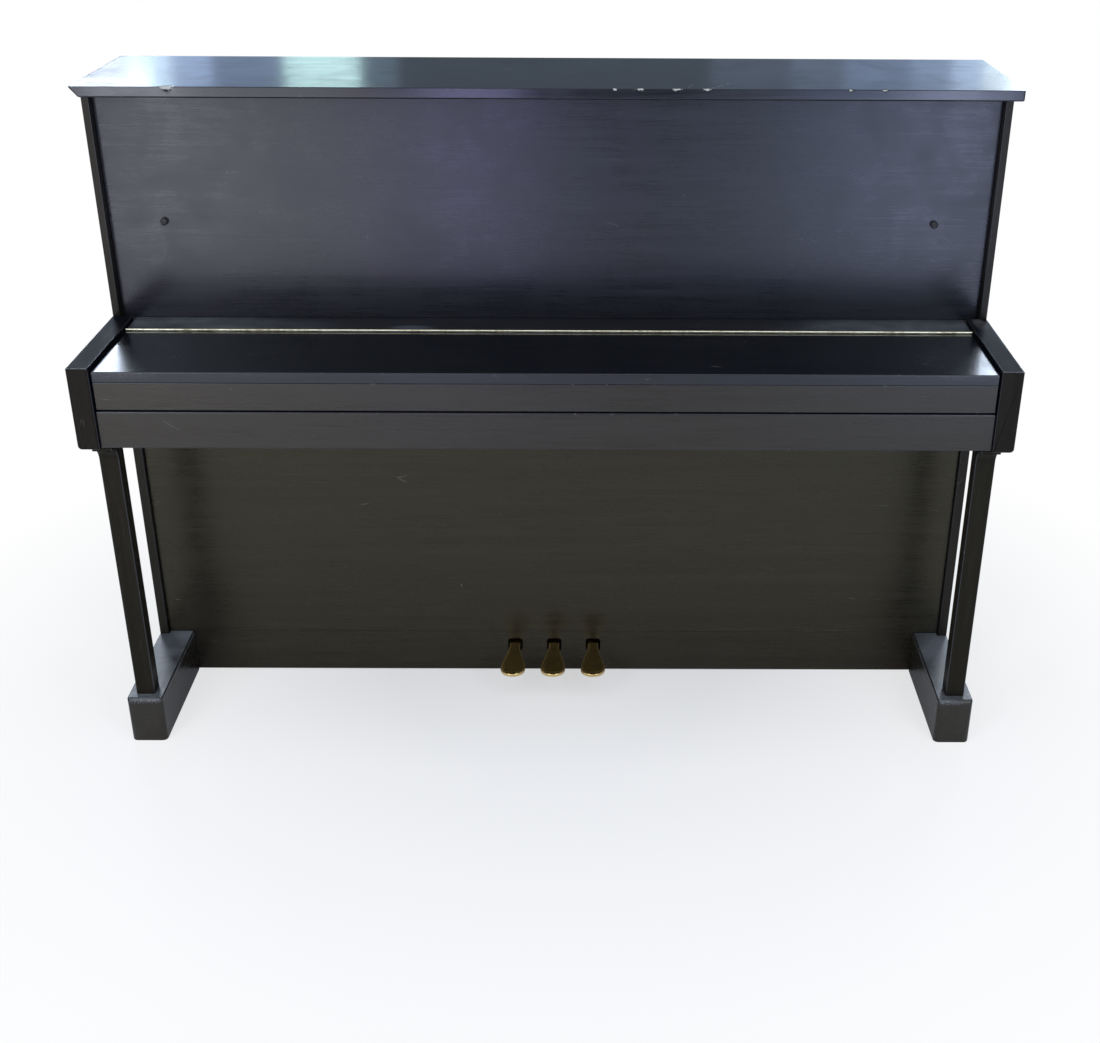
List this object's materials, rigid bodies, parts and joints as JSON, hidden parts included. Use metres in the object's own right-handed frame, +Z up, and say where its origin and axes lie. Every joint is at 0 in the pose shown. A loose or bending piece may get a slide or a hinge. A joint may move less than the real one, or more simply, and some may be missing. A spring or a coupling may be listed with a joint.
{
  "type": "upright piano",
  "caption": "Studio upright piano in satin black: straight arms on slim legs with toe blocks, folding fallboard over a full keyboard, hinged lid, and a strung back with a complete action.",
  "frame": {"origin": "on the floor, under the middle of the piano's bounding box", "axes": "+X to the player's right along the keyboard, +Y from the player towards the back, +Z up"},
  "size_m": [1.538, 0.546, 1.113],
  "materials": {
    "black_case": "satin ebonised lacquer over wood, fine horizontal brush streaks",
    "hinge_brass": "worn bright brass",
    "pedal_brass": "polished brass",
    "button_rubber": "matt black rubber",
    "key_white": "white key tops on raw wood sticks",
    "key_black": "satin black caps on raw wood sticks",
    "plate_iron": "bronze-painted cast iron",
    "bracket_iron": "grey-painted cast iron",
    "music_wire": "bare music wire, copper wound in the bass",
    "blued_steel": "blued steel",
    "hammer_felt": "pressed white felt on maple shanks",
    "damper_felt": "white felt on maple blocks",
    "spruce": "varnished spruce",
    "maple": "sealed maple",
    "inner_wood": "stained inner wood"
  },
  "bodies": {
    "case": {"side_left": "black_case", "side_right": "black_case", "arm_left": "black_case", "arm_right": "black_case", "leg_left": "black_case", "leg_right": "black_case", "toe_block_left": "black_case", "toe_block_right": "black_case", "upper_panel": "black_case", "panel_buttons": "button_rubber", "lower_panel": "black_case", "base_rail": "black_case", "bottom_board": "inner_wood", "lid_hinges_case": "hinge_brass", "key_bed": "inner_wood", "key_slip": "black_case", "key_blocks": "black_case", "nameboard": "black_case", "fallboard_rear": "black_case", "fallboard_hinge_fixed": "hinge_brass", "back_frame": "spruce", "pin_block": "maple", "soundboard": "spruce", "ribs": "spruce", "bridges": "maple", "iron_plate": "plate_iron", "plate_liner": "maple", "tuning_pins": "blued_steel", "strings": "music_wire", "key_frame": "maple", "action_rail": "inner_wood", "action_brackets": "bracket_iron", "hammer_rail": "inner_wood", "pedal_bracket": "bracket_iron"},
    "lid": {"top_lid": "black_case", "lid_hinges_lid": "hinge_brass"},
    "fallboard": {"fallboard_flap": "black_case", "fallboard_fascia": "black_case", "fallboard_hinge_moving": "hinge_brass", "shelf_hinges": "hinge_brass"},
    "shelf": {"music_shelf": "black_case"},
    "keys_ceg": {"white_keys_ceg": "key_white"},
    "keys_dfa": {"white_keys_dfa": "key_white"},
    "keys_b": {"white_keys_b": "key_white"},
    "keys_black": {"black_keys": "key_black"},
    "wippen_set_ceg": {"wippens_ceg": "maple"},
    "hammer_set_ceg": {"hammers_ceg": "hammer_felt"},
    "wippen_set_dfa": {"wippens_dfa": "maple"},
    "hammer_set_dfa": {"hammers_dfa": "hammer_felt"},
    "wippen_set_b": {"wippens_b": "maple"},
    "hammer_set_b": {"hammers_b": "hammer_felt"},
    "wippen_set_black": {"wippens_black": "maple"},
    "hammer_set_black": {"hammers_black": "hammer_felt"},
    "damper_set": {"dampers": "damper_felt"},
    "pedal_left": {"pedal_left": "pedal_brass"},
    "rod_left": {"pedal_rod_left": "maple"},
    "pedal_middle": {"pedal_middle": "pedal_brass"},
    "rod_middle": {"pedal_rod_middle": "maple"},
    "pedal_right": {"pedal_right": "pedal_brass"},
    "rod_right": {"pedal_rod_right": "maple"}
  },
  "joints": [
    {"name": "lid_hinge", "type": "hinge", "parent": "case", "child": "lid", "pos_m": [0, 0.2705, 1.0938], "axis": [-1, 0, 0], "range_deg": [0, 95]},
    {"name": "fallboard_hinge", "type": "hinge", "parent": "case", "child": "fallboard", "pos_m": [0, -0.07, 0.719], "axis": [-1, 0, 0], "range_deg": [0, 111.3]},
    {"name": "shelf_hinge", "type": "hinge", "parent": "fallboard", "child": "shelf", "pos_m": [0, -0.1, 0.6972], "axis": [1, 0, 0], "range_deg": [0, 90]},
    {"name": "key_rock_ceg", "type": "hinge", "parent": "case", "child": "keys_ceg", "pos_m": [0, -0.015, 0.653], "axis": [1, 0, 0], "range_deg": [0, 2.5], "stiffness_Nm_per_rad": 17.6, "springref_deg": -11.46},
    {"name": "wippen_lift_ceg", "type": "hinge", "parent": "case", "child": "wippen_set_ceg", "pos_m": [0, 0.135, 0.74], "axis": [-1, 0, 0], "range_deg": [0, 5.1]},
    {"name": "hammer_swing_ceg", "type": "hinge", "parent": "case", "child": "hammer_set_ceg", "pos_m": [0, 0.119, 0.815], "axis": [-1, 0, 0], "range_deg": [0, 19.1]},
    {"name": "key_rock_dfa", "type": "hinge", "parent": "case", "child": "keys_dfa", "pos_m": [0, -0.015, 0.653], "axis": [1, 0, 0], "range_deg": [0, 2.5], "stiffness_Nm_per_rad": 17.6, "springref_deg": -11.46},
    {"name": "wippen_lift_dfa", "type": "hinge", "parent": "case", "child": "wippen_set_dfa", "pos_m": [0, 0.135, 0.74], "axis": [-1, 0, 0], "range_deg": [0, 5.1]},
    {"name": "hammer_swing_dfa", "type": "hinge", "parent": "case", "child": "hammer_set_dfa", "pos_m": [0, 0.119, 0.815], "axis": [-1, 0, 0], "range_deg": [0, 19.1]},
    {"name": "key_rock_b", "type": "hinge", "parent": "case", "child": "keys_b", "pos_m": [0, -0.015, 0.653], "axis": [1, 0, 0], "range_deg": [0, 2.5], "stiffness_Nm_per_rad": 6.4, "springref_deg": -11.46},
    {"name": "wippen_lift_b", "type": "hinge", "parent": "case", "child": "wippen_set_b", "pos_m": [0, 0.135, 0.74], "axis": [-1, 0, 0], "range_deg": [0, 5.1]},
    {"name": "hammer_swing_b", "type": "hinge", "parent": "case", "child": "hammer_set_b", "pos_m": [0, 0.119, 0.815], "axis": [-1, 0, 0], "range_deg": [0, 19.1]},
    {"name": "key_rock_black", "type": "hinge", "parent": "case", "child": "keys_black", "pos_m": [0, -0.015, 0.653], "axis": [1, 0, 0], "range_deg": [0, 2.5], "stiffness_Nm_per_rad": 28.8, "springref_deg": -11.46},
    {"name": "wippen_lift_black", "type": "hinge", "parent": "case", "child": "wippen_set_black", "pos_m": [0, 0.135, 0.74], "axis": [-1, 0, 0], "range_deg": [0, 5.1]},
    {"name": "hammer_swing_black", "type": "hinge", "parent": "case", "child": "hammer_set_black", "pos_m": [0, 0.119, 0.815], "axis": [-1, 0, 0], "range_deg": [0, 19.1]},
    {"name": "damper_lift", "type": "hinge", "parent": "case", "child": "damper_set", "pos_m": [0, 0.1365, 0.805], "axis": [1, 0, 0], "range_deg": [0, 5.1]},
    {"name": "pedal_press_left", "type": "hinge", "parent": "case", "child": "pedal_left", "pos_m": [-0.075, 0.075, 0.0625], "axis": [1, 0, 0], "range_deg": [0, 6], "stiffness_Nm_per_rad": 40, "springref_deg": -4.58},
    {"name": "rod_lift_left", "type": "slide", "parent": "case", "child": "rod_left", "axis": [0, 0, 1], "range_m": [0, 0.006]},
    {"name": "pedal_press_middle", "type": "hinge", "parent": "case", "child": "pedal_middle", "pos_m": [0, 0.075, 0.0625], "axis": [1, 0, 0], "range_deg": [0, 6], "stiffness_Nm_per_rad": 40, "springref_deg": -4.58},
    {"name": "rod_lift_middle", "type": "slide", "parent": "case", "child": "rod_middle", "axis": [0, 0, 1], "range_m": [0, 0.006]},
    {"name": "pedal_press_right", "type": "hinge", "parent": "case", "child": "pedal_right", "pos_m": [0.075, 0.075, 0.0625], "axis": [1, 0, 0], "range_deg": [0, 6], "stiffness_Nm_per_rad": 40, "springref_deg": -4.58},
    {"name": "rod_lift_right", "type": "slide", "parent": "case", "child": "rod_right", "axis": [0, 0, 1], "range_m": [0, 0.006]}
  ],
  "couplings": [
    {"joint": "shelf_hinge", "follows": "fallboard_hinge", "ratio": 0.8},
    {"joint": "wippen_lift_ceg", "follows": "key_rock_ceg", "ratio": 2},
    {"joint": "hammer_swing_ceg", "follows": "key_rock_ceg", "ratio": 7.6},
    {"joint": "wippen_lift_dfa", "follows": "key_rock_dfa", "ratio": 2},
    {"joint": "hammer_swing_dfa", "follows": "key_rock_dfa", "ratio": 7.6},
    {"joint": "wippen_lift_b", "follows": "key_rock_b", "ratio": 2},
    {"joint": "hammer_swing_b", "follows": "key_rock_b", "ratio": 7.6},
    {"joint": "wippen_lift_black", "follows": "key_rock_black", "ratio": 2},
    {"joint": "hammer_swing_black", "follows": "key_rock_black", "ratio": 7.6},
    {"joint": "rod_lift_left", "follows": "pedal_press_left", "m_per_rad": 0.055},
    {"joint": "rod_lift_middle", "follows": "pedal_press_middle", "m_per_rad": 0.055},
    {"joint": "rod_lift_right", "follows": "pedal_press_right", "m_per_rad": 0.055},
    {"joint": "damper_lift", "follows": "pedal_press_right", "ratio": 0.8333}
  ]
}
